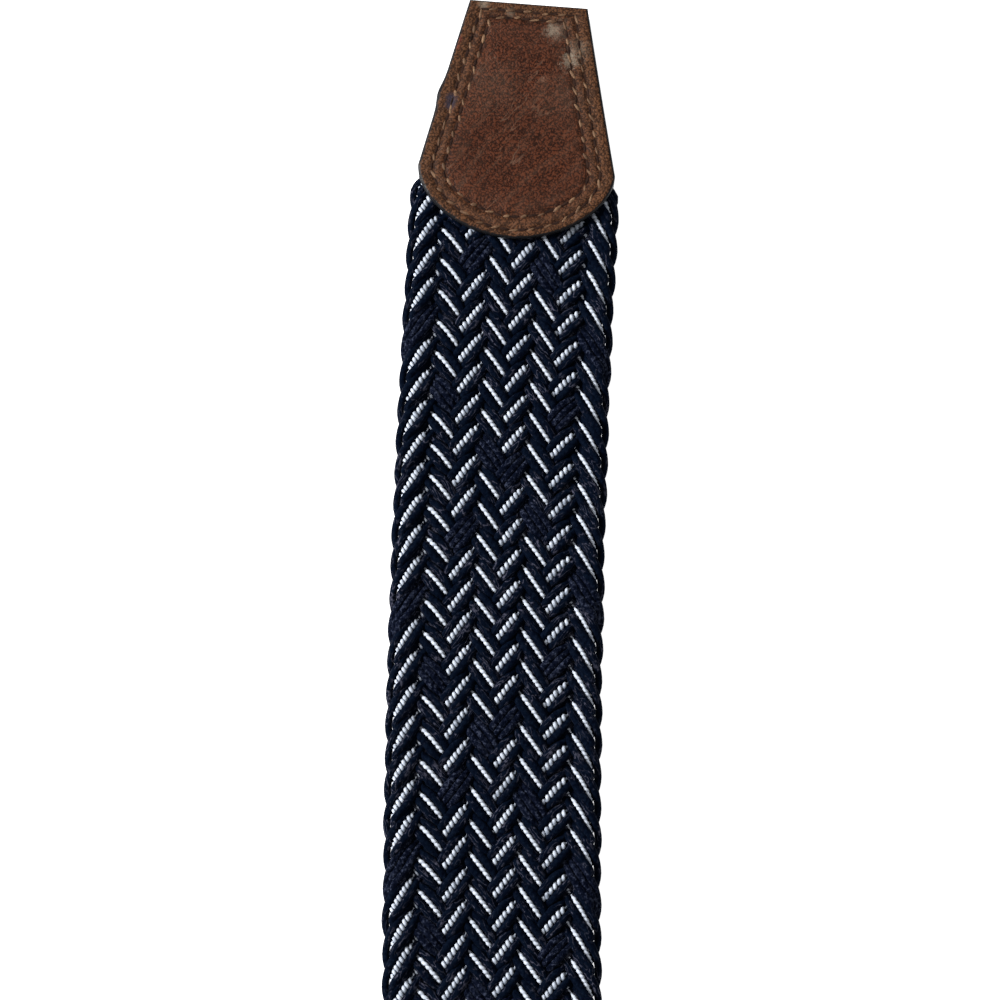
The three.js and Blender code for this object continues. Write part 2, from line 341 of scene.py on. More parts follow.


# Cord materials
# grooveShade is painted shade in the grooves between a cord's plies
cordLooks = {
    "white": {
        "ridge": (0.50, 0.54, 0.61), "grooveShade": (0.05, 0.065, 0.09), "glint": (0.62, 0.66, 0.72), "glintFrom": 0.60,
        "glintShare": 0.25, "highlightLine": 0.0, "rough": 0.85, "specular": 0.08, "sheen": 0.0, "plySpacing": 0.89 * mm,
        "plies": 1.0, "start": 0.0, "wobble": 2.0, "ply": 0.5, "fibres": 0.6, "depth": 0.26 * mm},
    "coil": {  # one ply for each of its windings: half a cycle has 57 mm of cord and 64 coils; its start puts painted light on the left side of each winding and painted shade on its right side
        "ridge": (0.49, 0.53, 0.60), "grooveShade": (0.14, 0.165, 0.21), "glint": (0.63, 0.67, 0.73), "glintFrom": 0.60,
        "glintShare": 0.3, "highlightLine": 0.0, "rough": 0.85, "specular": 0.06, "sheen": 0.0,
        "plySpacing": 57 / 64 * mm, "plies": 0.0, "start": 0.42, "wobble": 1.6, "ply": 0.42, "fibres": 0.7,
        "depth": 0.05 * mm},
    "dark": {
        "ridge": (0.0018, 0.0042, 0.0104), "grooveShade": (0.0002, 0.0008, 0.0036), "glint": (0.060, 0.060, 0.085),
        "glintFrom": 0.62, "glintShare": 0.07, "highlightLine": 0.9, "rough": 0.75, "specular": 0.01, "sheen": 0.01,
        "plySpacing": 0.9 * mm, "plies": 2.0, "start": 0.0, "wobble": 2.0, "ply": 0.10, "fibres": 1.5,
        "depth": 0.06 * mm},
    "navy": {
        "ridge": (0.0036, 0.0054, 0.0140), "grooveShade": (0.0004, 0.0010, 0.0038), "glint": (0.0360, 0.0430, 0.0680),
        "glintFrom": 0.54, "glintShare": 0.7, "highlightLine": 0.4, "rough": 0.7, "specular": 0.01, "sheen": 0.01,
        "plySpacing": 0.9 * mm, "plies": 2.0, "start": 0.0, "wobble": 2.0, "ply": 0.10, "fibres": 1.8,
        "depth": 0.10 * mm},
}


def cordMaterial(name):
    look = cordLooks[name]
    material, tree, sockets = newMaterial(name + "Cord", look["rough"], look["specular"])
    sockets["Sheen Weight"].default_value = look["sheen"]
    sockets["Sheen Roughness"].default_value = 0.4
    sockets["Sheen Tint"].default_value = (0.55, 0.65, 0.9, 1)
    yarn = fillGroup(tree, yarnGroup, {"Ply Spacing": look["plySpacing"], "Plies": look["plies"],
                                       "Start": look["start"], "Wobble": look["wobble"]})
    fibres = times(tree, minus(tree, yarn["Fibres"], 0.5), look["fibres"] * 2)
    ply = rampOf(tree, yarn["Ply"], 0.0, 1.0, 0.5 - look["ply"], 0.5 + look["ply"])
    # painted light: where evenlyLit is set, the ply tone is lifted towards an even bright
    level = times(tree, meshValue(tree, "evenlyLit")["Fac"], minus(tree, 0.86, ply))
    ply = plus(tree, ply, level)
    uneven = plus(tree, ply, fibres, True)
    # painted shade: the ply pattern darkens the grooves between plies towards grooveShade
    tone = mixColor(tree, uneven, (*look["grooveShade"], 1), (*look["ridge"], 1))
    glint = rampOf(tree, yarn["Fibres"], look["glintFrom"], look["glintFrom"] + 0.1)
    glint = times(tree, glint, look["glintShare"])
    # painted highlight lines along the cords join the glints
    drawn = times(tree, yarn["Highlight Lines"], look["highlightLine"])
    glint = doMath(tree, "MAXIMUM", glint, times(tree, drawn, rampOf(tree, yarn["Fibres"], 0.35, 0.6)))
    tree.links.new(mixColor(tree, glint, tone, (*look["glint"], 1)), sockets["Base Color"])
    bumpInto(tree, sockets, uneven, look["depth"])
    return material


# Braid
braid = {
    "half": 16.35 * mm,  # to the middle of a strand where it turns at the edge
    "rowPitch": 5.147 * mm,
    "firstTurn": 62.2 * mm,  # from the tip's edge to a turn of the first strand at the +X edge
    "strands": 17,
    "navyStrands": (0, 8),
    "darkThick": 1.20 * mm,
    "whiteThick": 1.06 * mm,
    "steepRun": 0.82,  # share of that in the strands that run up to -X
    "coilThick": 0.63 * mm,  # near the tip the white cord is modelled as the coiled yarn that it is
    "coilReach": 0.35 * mm,
    "coilLift": 0.75,  # share of that reach up and down
    "coils": 64,  # in half a cycle
    "steepShare": 0.26,  # the coil's reach in the strands that run up to -X
    "steepSize": 1.06,  # and its thickness there
    "windShake": 1.4,  # how far its windings wander, in radians
    "windLumps": 0.5,
    "evenlyLit": 0.8,  # painted light: share by which the white cord's painted ply shade is lifted in the strands that run up to -X, which the light falls along
    "evenFade": 0.03,  # share of half a cycle over which it changes
    "coreHalf": 15.6 * mm,
    "coreThick": 0.3 * mm,
    "coreUnder": (4 * mm, 8 * mm),  # so far under the leather of the tip and of the buckle
    "cordSpacing": 1.04 * mm,
    "rise": 0.66 * mm,  # of a strand's middle over the strap's
    "whiteSink": 0.08 * mm,  # the white cord lies this much deeper than the dark ones beside it
    "squeezed": 0.45,  # share that is left of it where it goes under the next strand
    "bulge": 0.12,  # share by which a strand spreads between two crossings, and narrows in them
    "squeezeRise": 0.6,  # height share above which it has its whole thickness
    "edgeRoll": 55.0,
    "turnShare": 0.055,  # of half a cycle, in which a strand is near its turn
    "turnInset": 0.50 * mm,  # the white cord lies further in where a strand turns
    "turnSqueeze": 0.25,
    "deepest": 0.80 * mm,  # the belt rests on its back, so no cord's middle lies deeper than this under its own
    "gatherStart": 33.0 * mm,  # the braid narrows from here to where the leather has its corner
    "gatherEnd": 29.2 * mm,
    "gatherShare": 0.88,
    "unevenness": 0.14 * mm,
    "closeHalves": 3.375,  # half cycles of the path that the tip's finer cords cover
    "runHalves": 8.875,  # half cycles in each of the two stretches behind them
}
# how far across a strand is, along half a cycle of its path
acrossKnots = ((-0.089, 0.888), (0, 1), (0.089, 0.888), (0.168, 0.748), (0.361, 0.372), (0.607, -0.110),
               (0.830, -0.602), (1, -1), (1.17, -0.602))
# where a strand is on top, 1, or below, -1, along half a cycle
heightKnots = ((-0.075, -1), (0.089, 1), (0.225, -1), (0.361, 1), (0.484, -1), (0.607, 1), (0.7185, -1),
               (0.830, 1), (0.925, -1), (1.089, 1))
halfCycle = braid["rowPitch"] * braid["strands"] / 2
halfLength = 57 * mm  # of cord in half a cycle
beltAlong = tipY - leatherEndY  # from the tip's edge to the end of the buckle's leather


def through(knots, place):
    # a smooth line through the knots, and its slope
    last = len(knots) - 2
    index = 0
    while index < last and place > knots[index + 1][0]:
        index += 1

    def slopeAt(k):
        before, after = knots[max(0, k - 1)], knots[min(len(knots) - 1, k + 1)]
        return (after[1] - before[1]) / (after[0] - before[0])

    (startAt, start), (endAt, end) = knots[index], knots[index + 1]
    run = endAt - startAt
    share = (place - startAt) / run
    startSlope, endSlope = slopeAt(index) * run, slopeAt(index + 1) * run
    cubic = 2 * (start - end) + startSlope + endSlope
    square = 3 * (end - start) - 2 * startSlope - endSlope
    value = ((cubic * share + square) * share + startSlope) * share + start
    slope = ((3 * cubic * share + 2 * square) * share + startSlope) / run
    return value, slope


def riseAt(place):
    for (startAt, start), (endAt, end) in zip(heightKnots, heightKnots[1:]):
        if place <= endAt:
            wave = mix(start, end, 0.5 - 0.5 * math.cos(math.pi * (place - startAt) / (endAt - startAt)))
            return wave * (1.35 - 0.35 * wave * wave)
    return 0.0


def strapLie(along):
    # thickness of the strap there, and the height of its middle
    fromLeather = min(along - belt["tipLength"], beltAlong - along)
    share = smoothStep(-belt["settleUnder"], belt["settleLength"], fromLeather)
    thick = mix(belt["pressedThick"], belt["strapThick"], share)
    bottom = mix(pressedBottom, 0.0, share)
    return thick, bottom + thick / 2


def gatherAt(along):
    tipShare = smoothStep(braid["gatherEnd"], braid["gatherStart"], along)
    farCorner = beltAlong + belt["roundDepth"]
    farShare = smoothStep(farCorner, farCorner - (braid["gatherStart"] - braid["gatherEnd"]), along)
    return mix(braid["gatherShare"], 1.0, min(tipShare, farShare))


def cordPoint(turn, strandTurns, cord, finish):
    # a point of one of a strand's three cords, turn half cycles after its first turn at the +X edge
    half = math.floor(turn)
    place = turn - half
    side = 1 if half % 2 == 0 else -1
    across, slope = through(acrossKnots, place)
    across, slope = side * across * braid["half"], side * slope * braid["half"]
    along = strandTurns - turn * halfCycle
    step = math.hypot(slope, halfCycle)
    nearTurn = math.exp(-(min(place, 1 - place) / braid["turnShare"]) ** 2)
    roll = math.radians(braid["edgeRoll"]) * nearTurn
    outward = side if place < 0.5 else -side
    rise = riseAt(place)
    steep = 1.0 if side < 0 else braid["steepSize"] if finish == "coil" else braid["steepRun"]
    size = 1 + braid["bulge"] * (2 * abs(rise) - 1) * (1 - nearTurn)
    aside = cord * braid["cordSpacing"] * math.cos(roll) * size
    across += aside * halfCycle / step
    along += aside * slope / step
    lift = rise * braid["rise"]
    if cord == 0 and finish != "navy":
        squeeze = smoothStep(0.0, braid["squeezeRise"], abs(rise))
        lift = rise * (braid["rise"] - braid["whiteSink"])
        size = mix(braid["squeezed"], 1.0, squeeze) * steep * (1 - braid["turnSqueeze"] * nearTurn)
        across -= outward * braid["turnInset"] * nearTurn
    lift -= cord * outward * braid["cordSpacing"] * math.sin(roll)
    # the numbers in a noise's vector set its pace along the strand and keep strands and uses apart
    if finish == "coil":
        wind = 2 * math.pi * turn * braid["coils"]
        wind += braid["windShake"] * noise.noise(Vector((turn * 45, strandTurns * 700, 9.0)))
        reach = braid["coilReach"] * (1.0 if side < 0 else braid["steepShare"]) * squeeze
        reach *= 1 + braid["windLumps"] * noise.noise(Vector((turn * 37, strandTurns * 900, 5.0)))
        across += reach * math.cos(wind) * halfCycle / step
        along += reach * math.cos(wind) * slope / step
        lift += reach * math.sin(wind) * braid["coilLift"]
    lift = max(lift, -braid["deepest"])
    thick, middle = strapLie(along)
    shake = noise.noise(Vector((turn * 7.3, strandTurns * 900, cord * 3.1))) * braid["unevenness"]
    lean = noise.noise(Vector((turn * 5.1 + 40, strandTurns * 900, 0.7))) * braid["unevenness"]
    up = middle + (lift + shake * 0.5) * thick / belt["strapThick"]
    return strapPoint((across + lean) * gatherAt(along), along + shake, up), size


def evenLightAt(turn, finish):
    # painted light: the white cord is painted evenly lit in the strands that run up to -X, which the light falls
    # along, and keeps its painted ply shade in the others
    if finish not in ("white", "coil"):
        return 0.0
    turned, fade = turn % 2, braid["evenFade"]
    return braid["evenlyLit"] * smoothStep(-fade, fade, turned) * smoothStep(1 + fade, 1 - fade, turned)


def cordRoutes(strands, cords, finish, steps, fromAlong, halves):
    # cords of the chosen strands over so many half cycles, as lists of equally many points, and how evenly lit their
    # white cord is painted
    routes, sides = [], []
    for strand in strands:
        strandTurns = braid["firstTurn"] + strand * braid["rowPitch"]
        last = math.ceil((strandTurns - fromAlong) / halfCycle * 8) * steps // 8  # stretches meet on eighths
        for cord in cords:
            turns = [k / steps for k in range(last - round(halves * steps), last + 1)]
            routes.append([cordPoint(turn, strandTurns, cord, finish) for turn in turns])
            sides.append([evenLightAt(turn, finish) for turn in turns])
    return routes, sides


def meshFrom(work, name, materials, smooth=True):
    bmesh.ops.recalc_face_normals(work, faces=work.faces)
    mesh = bpy.data.meshes.new(name)
    work.to_mesh(mesh)
    work.free()
    mesh.polygons.foreach_set("use_smooth", [smooth] * len(mesh.polygons))
    for material in materials:
        mesh.materials.append(material)
    return mesh


def pieceFrom(name, mesh, node):
    thing = newObject(name, mesh)
    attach(thing, "root")
    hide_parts(node)
    print(f"{name}: {sum(len(face.vertices) - 2 for face in mesh.polygons)} triangles")


def curveMesh(name, routes, radius, roundness, material, cyclic=False):
    # round cords or wires along the routes, as one mesh with its UV map in metres along and turns round
    curve = bpy.data.curves.new(name, "CURVE")
    curve.dimensions = "3D"
    curve.twist_mode = "Z_UP"
    curve.bevel_depth = radius
    curve.bevel_resolution = roundness
    curve.use_fill_caps = not cyclic
    for points in routes:
        spline = curve.splines.new("POLY")
        spline.use_cyclic_u = cyclic
        spline.points.add(len(points) - 1)
        spline.points.foreach_set("co", [value for place, _ in points for value in (*place, 1.0)])
        spline.points.foreach_set("radius", [size for _, size in points])
    source = newObject(name + "Route", curve)
    graph = bpy.context.evaluated_depsgraph_get()
    mesh = bpy.data.meshes.new_from_object(source.evaluated_get(graph))
    bpy.data.objects.remove(source)
    bpy.data.curves.remove(curve)
    mesh.name = name
    mesh.polygons.foreach_set("use_smooth", [True] * len(mesh.polygons))
    mesh.materials.clear()
    mesh.materials.append(material)
    return mesh


def makeCords(name, routes, sides, thick, roundness, stepLength, material):
    mesh = curveMesh(name, routes, thick / 2, roundness, material)
    length = (len(routes[0]) - 1) * stepLength
    layer = mesh.uv_layers.active.data
    flat = [0.0] * (2 * len(layer))
    layer.foreach_get("uv", flat)
    flat[0::2] = [value * length for value in flat[0::2]]
    layer.foreach_set("uv", flat)
    # the rings of vertices come in the order of the points, after the caps
    rings = [side for route in sides for side in route]
    around = 2 * roundness + 4
    values = [0.0] * (len(mesh.vertices) - around * len(rings)) + [side for side in rings for _ in range(around)]
    mesh.attributes.new("evenlyLit", "FLOAT", "POINT").data.foreach_set("value", values)
    pieceFrom(name, mesh, "braided_strap")


def makeCore(material):
    # a dark sheet in the braid's middle: the real cords are packed so tightly that nothing shows between them
    start, end = braid["gatherEnd"] - braid["coreUnder"][0], beltAlong + braid["coreUnder"][1]
    work = bmesh.new()
    bmesh.ops.create_grid(work, x_segments=4, y_segments=240, size=1)
    for vert in work.verts:
        along = mix(start, end, (vert.co.y + 1) / 2)
        vert.co = strapPoint(vert.co.x * braid["coreHalf"] * gatherAt(along), along, strapLie(along)[1])
    bmesh.ops.solidify(work, geom=work.faces[:], thickness=braid["coreThick"])
    mesh = meshFrom(work, "braid_core", [material], smooth=False)
    pieceFrom("braid_core", mesh, "braided_strap")


def makeBraid():
    navyStrands = braid["navyStrands"]
    otherStrands = [strand for strand in range(braid["strands"]) if strand not in navyStrands]
    runStart = braid["gatherEnd"] + braid["closeHalves"] * halfCycle
    runs = [("run_1", runStart, braid["runHalves"]),
            ("run_2", runStart + braid["runHalves"] * halfCycle, braid["runHalves"])]
    tips = [("tip", braid["gatherEnd"], braid["closeHalves"])]
    coils = {f"white_coils_{k + 1}": otherStrands[k * 5:k * 5 + 5] for k in range(3)}
    # name, finish, strands, cords, thickness, steps in half a cycle, roundness, stretches
    kinds = [(name, "coil", strands, (0,), "coilThick", 512, 1, tips) for name, strands in coils.items()]
    kinds += [
        ("dark_cords", "dark", otherStrands, (-1, 1), "darkThick", 64, 2, tips),
        ("navy_cords", "navy", navyStrands, (-1, 0, 1), "darkThick", 64, 2, tips),
        ("white_cords", "white", otherStrands, (0,), "whiteThick", 32, 1, runs),
        ("dark_cords", "dark", otherStrands, (-1, 1), "darkThick", 32, 1, runs),
        ("navy_cords", "navy", navyStrands, (-1, 0, 1), "darkThick", 32, 1, runs),
    ]
    materials = {name: cordMaterial(name) for name in cordLooks}
    for name, finish, strands, cords, thick, steps, roundness, stretches in kinds:
        for place, start, halves in stretches:
            routes, sides = cordRoutes(strands, cords, finish, steps, start, halves)
            makeCords(f"{name}_{place}", routes, sides, braid[thick], roundness, halfLength / steps,
                      materials[finish])
    makeCore(materials["dark"])


makeBraid()
print("braid made")

# Leather
leatherLooks = {
    "grainSize": 0.62 * mm,
    "centre": (0.0440, 0.0126, 0.0054),
    "border": (0.0590, 0.0246, 0.0108),
    "dark": (0.013, 0.005, 0.003),
    "pale": (0.120, 0.066, 0.043),
    "paint": (0.006, 0.006, 0.007),
    "dust": (0.29, 0.24, 0.18),
    "inkStain": (0.030, 0.026, 0.038),
    "redMark": (0.16, 0.030, 0.022),
    "thread": (0.240, 0.138, 0.076),
    "threadShade": (0.050, 0.024, 0.012),
}
# across and along from the tip's edge, reach, raggedness, share, and colour of each mark on the tip
tipMarks = (
    ("dust", 4.9, 4.9, 2.4, 1.3, 0.20),
    ("dust", 4.2, 4.8, 1.2, 1.6, 0.32),
    ("dust", 7.7, 9.8, 1.8, 1.9, 0.36),
    ("dust", 8.8, 8.0, 2.6, 1.3, 0.16),
    ("dust", 6.0, 17.0, 5.5, 1.3, 0.03),
    ("dust", -4.5, 15.0, 6.0, 1.3, 0.04),
    ("dust", -7.6, 1.0, 1.3, 1.0, 0.35),
    ("dust", -3.0, 2.2, 1.0, 1.1, 0.20),
    ("inkStain", -11.7, 17.8, 1.2, 0.35, 0.9),
    ("inkStain", -11.8, 19.0, 1.1, 0.35, 0.9),
    ("redMark", -11.2, 7.4, 0.8, 0.7, 0.40),
    ("redMark", -11.5, 8.8, 0.8, 0.7, 0.40),
)


def leatherMaterial(name, marks=()):
    look = leatherLooks
    material, tree, sockets = newMaterial(name, 0.55, 0.08)
    grain = fillGroup(tree, grainGroup, {"Grain Size": look["grainSize"]})
    stitchShading = meshValue(tree, "stitchShade")["Fac"]
    paint, inner = meshValue(tree, "edgePaint")["Fac"], meshValue(tree, "innerShare")["Fac"]
    cloudy = rampOf(tree, noiseOf(tree, 160.0, 3.0, 0.6), 0.35, 0.68)
    base = mixColor(tree, inner, (*look["border"], 1), (*look["centre"], 1))
    mottle = rampOf(tree, grain["Tone"], 0.41, 0.59, 0.28, 1.72)
    grey = addNode(tree, "ShaderNodeCombineColor", {"Red": mottle, "Green": mottle, "Blue": mottle}).outputs[0]
    base = mixColor(tree, 1.0, base, grey, "MULTIPLY")
    base = mixColor(tree, times(tree, cloudy, 0.25), base, (*look["dark"], 1))
    turned = addNode(tree, "ShaderNodeMapping", {"Vector": objectPlace(tree), "Rotation": (0, 0, math.radians(-42)),
                                                 "Scale": (1.0, 6.0, 1.0)}, vector_type="TEXTURE").outputs["Vector"]
    haze = rampOf(tree, noiseOf(tree, 600.0, 5.0, 0.7, turned), 0.50, 0.78, 0.0, 0.33)
    base = mixColor(tree, times(tree, haze, inner), base, (*look["pale"], 1))
    line = offMiddle(tree, noiseOf(tree, 520.0, 2.0, 0.5, turned))
    broken = rampOf(tree, noiseOf(tree, 150.0, 3.0), 0.50, 0.62, 0.0, 0.55)
    scratch = times(tree, rampOf(tree, line, 0.014, 0.0), broken)
    base = mixColor(tree, scratch, base, (*look["pale"], 1))
    # painted shade in the stitch dents, and painted highlight on the rims beside the rows
    base = mixColor(tree, rampOf(tree, stitchShading, 0.0, 1.0, 0.0, 0.72), base, (*look["dark"], 1))
    base = mixColor(tree, rampOf(tree, stitchShading, 0.0, -1.0, 0.0, 0.10), base, (*look["pale"], 1))
    for colour, across, along, reach, ragged, share in marks:
        centre = strapPoint(across * mm, along * mm, leatherTop)
        mask = fillGroup(tree, spotGroup, {"Centre": centre, "Reach": reach * mm, "Ragged": ragged})["Mask"]
        base = mixColor(tree, times(tree, mask, share), base, (*look[colour], 1))
    uneven = rampOf(tree, noiseOf(tree, 1200.0, 3.0, 0.7), 0.3, 0.7, -0.22, 0.22)
    painted = plus(tree, paint, times(tree, uneven, times(tree, paint, 2.0)))
    painted = rampOf(tree, painted, 0.25, 0.6)
    base = mixColor(tree, painted, base, (*look["paint"], 1))
    tree.links.new(base, sockets["Base Color"])
    rough = rampOf(tree, grain["Tone"], 0.3, 0.9, 0.48, 0.66)
    rough = minus(tree, rough, times(tree, painted, 0.18))
    tree.links.new(rough, sockets["Roughness"])
    height = times(tree, grain["Height"], rampOf(tree, painted, 0.0, 1.0, 1.0, 0.3))
    creases = rampOf(tree, noiseOf(tree, 260.0, 4.0, 0.6), 0.3, 0.7)
    bumpInto(tree, sockets, height, 0.09 * mm, 0.9, bumpInto(tree, None, creases, 0.10 * mm))
    return material


def threadMaterial():
    look = leatherLooks
    material, tree, sockets = newMaterial("sewingThread", 0.6, 0.15)
    fibres = rampOf(tree, noiseOf(tree, 2600.0, 3.0, 0.7), 0.3, 0.7)
    worn = rampOf(tree, noiseOf(tree, 430.0, 2.0, 0.5), 0.40, 0.60, 0.25, 1.0)
    fibres = times(tree, fibres, worn)
    tree.links.new(mixColor(tree, fibres, (*look["threadShade"], 1), (*look["thread"], 1)), sockets["Base Color"])
    bumpInto(tree, sockets, fibres, 0.06 * mm)
    return material


# painted shade: a dark blob for the shadow inside a needle hole
def needleHoleShadeMaterial():
    material, tree, sockets = newMaterial("needleHoleShade", 0.9, 0.1)
    shade = rampOf(tree, noiseOf(tree, 1500.0), 0.3, 0.7)
    tree.links.new(mixColor(tree, shade, (0.008, 0.004, 0.003, 1), (0.030, 0.014, 0.009, 1)), sockets["Base Color"])
    return material


# Levels of a leaf of leather, from the middle of its inner face round its edge to the middle of its outer face:
# inset from its sides, from its rounded end and from its straight end in millimetres, height as a share of the
# thickness, edge paint, and how far it counts as the field inside the stitches
leafLevels = (
    (None, None, None, 0.0, 0, 1),
    (7.0, 7.0, 7.0, 0.0, 0, 1),
    (0.7, 0.7, 0.7, 0.0, 0, 0),
    (0.14, 0.14, 0.14, 0.06, 1, 0),
    (0.0, 0.0, 0.0, 0.22, 1, 0),
    (0.0, 0.0, 0.0, 0.66, 1, 0),
    (0.07, 0.07, 0.06, 0.84, 1, 0),
    (0.22, 0.20, 0.18, 0.95, 0.70, 0),
    (0.50, 0.42, 0.40, 1.0, 0.14, 0),
    (0.80, 0.65, 0.60, 1.02, 0, 0),
    (1.40, 0.85, 0.90, 1.03, 0, 0),
    (2.00, 1.05, 1.25, 1.0, 0, 0),
    (2.40, 1.35, 1.55, 0.90, 0, 0.1),
    (2.80, 1.65, 1.85, 1.0, 0, 0.2),
    (3.30, 2.40, 2.15, 1.03, 0, 0.3),
    (3.95, 3.30, 2.45, 1.0, 0, 0.4),
    (4.35, 3.65, 2.75, 0.90, 0, 0.6),
    (4.75, 4.05, 3.10, 1.0, 0, 0.8),
    (5.50, 5.20, 4.20, 1.02, 0, 1),
    (8.00, 8.50, 9.00, 1.02, 0, 1),
    (None, None, None, 1.02, 0, 1),
)
seamReach = (frontBottom - belt["leatherThick"]) / 2 / belt["leatherThick"]  # from a leaf to the middle between two


def seamHeight(level, closed):
    # where the two leaves are sewn shut, their inner rims thicken until they meet
    if level not in leafLevels[2:5]:
        return level[3]
    return mix(level[3], 0.45 * level[3] - seamReach + 0.02, closed)


rowLevels = (12, 16)  # the levels that the two rows of stitches are on
rowInsets = [leafLevels[level][:3] for level in rowLevels]
# shares of the way round a leaf at which its rounded end starts and stops, and its straight end starts
roundFrom, roundTo, endFrom = 0.27, 0.63, 0.90


def leafOutline(share, insets, leaf):
    # across and along at a share of the way round a leaf, from the +X corner of its straight end
    side, rounded, end = (inset * mm for inset in insets)
    end += leaf["trim"]
    straight = leaf["length"] - belt["roundDepth"]

    def halfAt(along):
        return mix(leaf["endHalf"], belt["tabHalf"], along / straight) - side

    if share < roundFrom:
        along = mix(end, straight, share / roundFrom)
        return halfAt(along), along
    if share < roundTo:
        turn = (share - roundFrom) / (roundTo - roundFrom) * math.pi
        power = 2 / belt["roundFullness"]
        across = math.copysign(abs(math.cos(turn)) ** power, math.cos(turn)) * (belt["tabHalf"] - side)
        return across, straight + (belt["roundDepth"] - rounded) * max(0.0, math.sin(turn)) ** power
    if share < endFrom:
        along = mix(straight, end, (share - roundTo) / (endFrom - roundTo))
        near = math.exp(-((along - leaf["nickAt"]) / leaf["nickReach"]) ** 2)
        return -halfAt(along) - near * leaf["nick"] * max(0, 1 - side / mm), along
    return mix(-1, 1, (share - endFrom) / (1 - endFrom)) * halfAt(end), end


tipLeaf = {
    "length": belt["tipLength"],
    "endHalf": belt["tipEndHalf"],
    "trim": 0.40 * mm,
    "nick": 0.45 * mm,  # a worn place in the -X side stands out this far
    "nickAt": 16.8 * mm,
    "nickReach": 2.0 * mm,
    "place": strapPoint,
    "middle": 0.55,  # share of the length at which the two faces are drawn together
    "seamFade": (32.4 * mm, 29.6 * mm),  # the leaves are shut up to the braid's first cords
    "wornShares": (0.40, 0.50, 0.90, 0.72),  # of the way round: the -X side's paint is worn there
    "wornPaint": 0.16,
}

stitching = {
    "pitch": 2.9 * mm,
    "length": 1.65 * mm,
    "lengthShares": (0.7, 1.2),
    "thick": 0.58 * mm,
    "thickShares": (0.65, 1.15),
    "flat": 0.62,  # height of the thread as a share of its width
    "slant": 15.0,
    "slantShares": (0.1, 2.1),
    "aside": 0.18 * mm,
    "lift": 0.02 * mm,
    "hole": 1.55 * mm,
    "holeWide": 0.85,
    "holeFlat": 0.35,
    "holeLift": -0.03 * mm,
    "dent": 0.10,  # share of the leather's thickness
    "dentPhase": 0.75,
    "dentBeside": 0.45,
    "rowShade": 0.25,  # share of the dents' shade that the whole row has
    "rimHighlight": 0.8,  # painted highlight on the rims beside the row
}


def addValues(work, names):
    return [work.verts.layers.float.new(name) for name in names]


def rowLengths(insets, leaf, steps):
    # points once round a row and back to the first, and how far along the row each one is
    points = [Vector(leafOutline(k / steps, insets, leaf)) for k in range(steps)]
    points.append(points[0])
    lengths = [0.0]
    for before, after in zip(points, points[1:]):
        lengths.append(lengths[-1] + (after - before).length)
    return points, lengths


def stitchPhases(steps, leaf):
    # how far along its stitch each share of the way round is, for both rows
    tables = []
    for insets in rowInsets:
        lengths = rowLengths(insets, leaf, steps)[1]
        count = round(lengths[-1] / stitching["pitch"])
        tables.append([length / lengths[-1] * count for length in lengths[:-1]])
    return tables


def makeTipLeaf(name, node, inner, outer, material):
    # a leaf between the heights of its inner and outer face
    steps = 360
    phases = stitchPhases(steps, tipLeaf)
    work = bmesh.new()
    bmesh.ops.create_grid(work, x_segments=steps, y_segments=len(leafLevels) - 1, size=1)
    paint, field, shaded = addValues(work, ("edgePaint", "innerShare", "stitchShade"))
    for vert in work.verts:
        index = round((vert.co.y + 1) / 2 * (len(leafLevels) - 1))
        level = leafLevels[index]
        step = round((vert.co.x + 1) / 2 * steps) % steps
        share = step / steps
        across, along = 0.0, tipLeaf["length"] * tipLeaf["middle"]
        if level[0] is not None:
            across, along = leafOutline(share, level[:3], tipLeaf)
        height = seamHeight(level, smoothStep(*tipLeaf["seamFade"], along))
        if outer < inner:
            height = min(height, 1.0)
        for row, (phase, centre) in enumerate(zip(phases, rowLevels)):
            aside = abs(index - centre)
            near = (1.0, stitching["dentBeside"])[aside] if aside < 2 else 0.0
            sunk = near * (0.5 + 0.5 * math.cos(2 * math.pi * (phase[step] - stitching["dentPhase"])))
            height -= stitching["dent"] * sunk
            shade = stitching["rowShade"]
            # painted shade for the dents, and painted highlight for the rims two levels away
            vert[shaded] += near * shade + sunk * (1 - shade) - (stitching["rimHighlight"] if aside == 2 else 0.0)
        worn = smoothStep(*tipLeaf["wornShares"][:2], share) * smoothStep(*tipLeaf["wornShares"][2:], share)
        vert.co = strapPoint(across, along, mix(inner, outer, height))
        vert[paint] = min(1.0, level[4] + (tipLeaf["wornPaint"] * worn if 8 <= index <= 9 else 0))
        vert[field] = level[5]
    bmesh.ops.remove_doubles(work, verts=work.verts, dist=0.001 * mm)
    pieceFrom(name, meshFrom(work, name, [material]), node)


